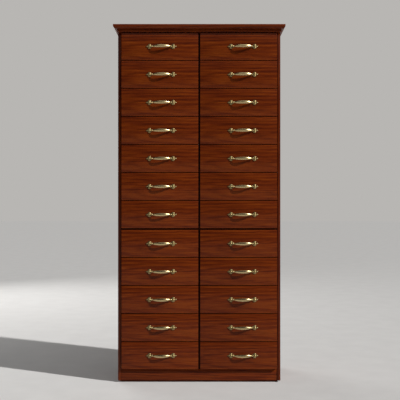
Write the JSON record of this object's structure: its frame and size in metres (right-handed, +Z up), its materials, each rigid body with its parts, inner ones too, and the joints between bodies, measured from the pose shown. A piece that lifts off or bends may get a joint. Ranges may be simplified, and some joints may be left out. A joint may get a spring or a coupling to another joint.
{
  "type": "apothecary cabinet",
  "caption": "Tall free-standing apothecary cabinet: two columns of sliding drawers with cast bow pulls, a moulded top and a recessed plinth.",
  "frame": {"origin": "on the floor, under the middle of the overall width and depth", "axes": "+Z up, drawers face -Y and pull out along -Y, +X to the right as seen from the front"},
  "size_m": [0.863, 0.427, 1.8],
  "materials": {
    "lacquered_wood": "semi-gloss lacquer on red-brown rosewood veneer",
    "back_ply": "stained plywood",
    "inner_wood": "planed pale hardwood, sealed or waxed",
    "antique_brass": "cast, darkened and rubbed back",
    "glide_plastic": "moulded",
    "screw_steel": "zinc-plated"
  },
  "bodies": {
    "cabinet": {"left_side": "lacquered_wood", "right_side": "lacquered_wood", "centre_partitions": "lacquered_wood", "top_board": "lacquered_wood", "frieze_strips": "lacquered_wood", "fixed_shelf": "lacquered_wood", "floor_board": "lacquered_wood", "back_panel": "back_ply", "plinth_board": "lacquered_wood", "drawer_runners": "inner_wood", "glides": "glide_plastic", "back_screws": "screw_steel"},
    "drawer_left_01": {"drawer_left_01": "lacquered_wood", "pull_left_01": "antique_brass"},
    "drawer_left_02": {"drawer_left_02": "lacquered_wood", "pull_left_02": "antique_brass"},
    "drawer_left_03": {"drawer_left_03": "lacquered_wood", "pull_left_03": "antique_brass"},
    "drawer_left_04": {"drawer_left_04": "lacquered_wood", "pull_left_04": "antique_brass"},
    "drawer_left_05": {"drawer_left_05": "lacquered_wood", "pull_left_05": "antique_brass"},
    "drawer_left_06": {"drawer_left_06": "lacquered_wood", "pull_left_06": "antique_brass"},
    "drawer_left_07": {"drawer_left_07": "lacquered_wood", "pull_left_07": "antique_brass"},
    "drawer_left_08": {"drawer_left_08": "lacquered_wood", "pull_left_08": "antique_brass"},
    "drawer_left_09": {"drawer_left_09": "lacquered_wood", "pull_left_09": "antique_brass"},
    "drawer_left_10": {"drawer_left_10": "lacquered_wood", "pull_left_10": "antique_brass"},
    "drawer_left_11": {"drawer_left_11": "lacquered_wood", "pull_left_11": "antique_brass"},
    "drawer_left_12": {"drawer_left_12": "lacquered_wood", "pull_left_12": "antique_brass"},
    "drawer_right_01": {"drawer_right_01": "lacquered_wood", "pull_right_01": "antique_brass"},
    "drawer_right_02": {"drawer_right_02": "lacquered_wood", "pull_right_02": "antique_brass"},
    "drawer_right_03": {"drawer_right_03": "lacquered_wood", "pull_right_03": "antique_brass"},
    "drawer_right_04": {"drawer_right_04": "lacquered_wood", "pull_right_04": "antique_brass"},
    "drawer_right_05": {"drawer_right_05": "lacquered_wood", "pull_right_05": "antique_brass"},
    "drawer_right_06": {"drawer_right_06": "lacquered_wood", "pull_right_06": "antique_brass"},
    "drawer_right_07": {"drawer_right_07": "lacquered_wood", "pull_right_07": "antique_brass"},
    "drawer_right_08": {"drawer_right_08": "lacquered_wood", "pull_right_08": "antique_brass"},
    "drawer_right_09": {"drawer_right_09": "lacquered_wood", "pull_right_09": "antique_brass"},
    "drawer_right_10": {"drawer_right_10": "lacquered_wood", "pull_right_10": "antique_brass"},
    "drawer_right_11": {"drawer_right_11": "lacquered_wood", "pull_right_11": "antique_brass"},
    "drawer_right_12": {"drawer_right_12": "lacquered_wood", "pull_right_12": "antique_brass"}
  },
  "joints": [
    {"name": "drawer_left_01_slide", "type": "slide", "parent": "cabinet", "child": "drawer_left_01", "axis": [0, -1, 0], "range_m": [0, 0.27]},
    {"name": "drawer_left_02_slide", "type": "slide", "parent": "cabinet", "child": "drawer_left_02", "axis": [0, -1, 0], "range_m": [0, 0.27]},
    {"name": "drawer_left_03_slide", "type": "slide", "parent": "cabinet", "child": "drawer_left_03", "axis": [0, -1, 0], "range_m": [0, 0.27]},
    {"name": "drawer_left_04_slide", "type": "slide", "parent": "cabinet", "child": "drawer_left_04", "axis": [0, -1, 0], "range_m": [0, 0.27]},
    {"name": "drawer_left_05_slide", "type": "slide", "parent": "cabinet", "child": "drawer_left_05", "axis": [0, -1, 0], "range_m": [0, 0.27]},
    {"name": "drawer_left_06_slide", "type": "slide", "parent": "cabinet", "child": "drawer_left_06", "axis": [0, -1, 0], "range_m": [0, 0.27]},
    {"name": "drawer_left_07_slide", "type": "slide", "parent": "cabinet", "child": "drawer_left_07", "axis": [0, -1, 0], "range_m": [0, 0.27]},
    {"name": "drawer_left_08_slide", "type": "slide", "parent": "cabinet", "child": "drawer_left_08", "axis": [0, -1, 0], "range_m": [0, 0.27]},
    {"name": "drawer_left_09_slide", "type": "slide", "parent": "cabinet", "child": "drawer_left_09", "axis": [0, -1, 0], "range_m": [0, 0.27]},
    {"name": "drawer_left_10_slide", "type": "slide", "parent": "cabinet", "child": "drawer_left_10", "axis": [0, -1, 0], "range_m": [0, 0.27]},
    {"name": "drawer_left_11_slide", "type": "slide", "parent": "cabinet", "child": "drawer_left_11", "axis": [0, -1, 0], "range_m": [0, 0.27]},
    {"name": "drawer_left_12_slide", "type": "slide", "parent": "cabinet", "child": "drawer_left_12", "axis": [0, -1, 0], "range_m": [0, 0.27]},
    {"name": "drawer_right_01_slide", "type": "slide", "parent": "cabinet", "child": "drawer_right_01", "axis": [0, -1, 0], "range_m": [0, 0.27]},
    {"name": "drawer_right_02_slide", "type": "slide", "parent": "cabinet", "child": "drawer_right_02", "axis": [0, -1, 0], "range_m": [0, 0.27]},
    {"name": "drawer_right_03_slide", "type": "slide", "parent": "cabinet", "child": "drawer_right_03", "axis": [0, -1, 0], "range_m": [0, 0.27]},
    {"name": "drawer_right_04_slide", "type": "slide", "parent": "cabinet", "child": "drawer_right_04", "axis": [0, -1, 0], "range_m": [0, 0.27]},
    {"name": "drawer_right_05_slide", "type": "slide", "parent": "cabinet", "child": "drawer_right_05", "axis": [0, -1, 0], "range_m": [0, 0.27]},
    {"name": "drawer_right_06_slide", "type": "slide", "parent": "cabinet", "child": "drawer_right_06", "axis": [0, -1, 0], "range_m": [0, 0.27]},
    {"name": "drawer_right_07_slide", "type": "slide", "parent": "cabinet", "child": "drawer_right_07", "axis": [0, -1, 0], "range_m": [0, 0.27]},
    {"name": "drawer_right_08_slide", "type": "slide", "parent": "cabinet", "child": "drawer_right_08", "axis": [0, -1, 0], "range_m": [0, 0.27]},
    {"name": "drawer_right_09_slide", "type": "slide", "parent": "cabinet", "child": "drawer_right_09", "axis": [0, -1, 0], "range_m": [0, 0.27]},
    {"name": "drawer_right_10_slide", "type": "slide", "parent": "cabinet", "child": "drawer_right_10", "axis": [0, -1, 0], "range_m": [0, 0.27]},
    {"name": "drawer_right_11_slide", "type": "slide", "parent": "cabinet", "child": "drawer_right_11", "axis": [0, -1, 0], "range_m": [0, 0.27]},
    {"name": "drawer_right_12_slide", "type": "slide", "parent": "cabinet", "child": "drawer_right_12", "axis": [0, -1, 0], "range_m": [0, 0.27]}
  ]
}
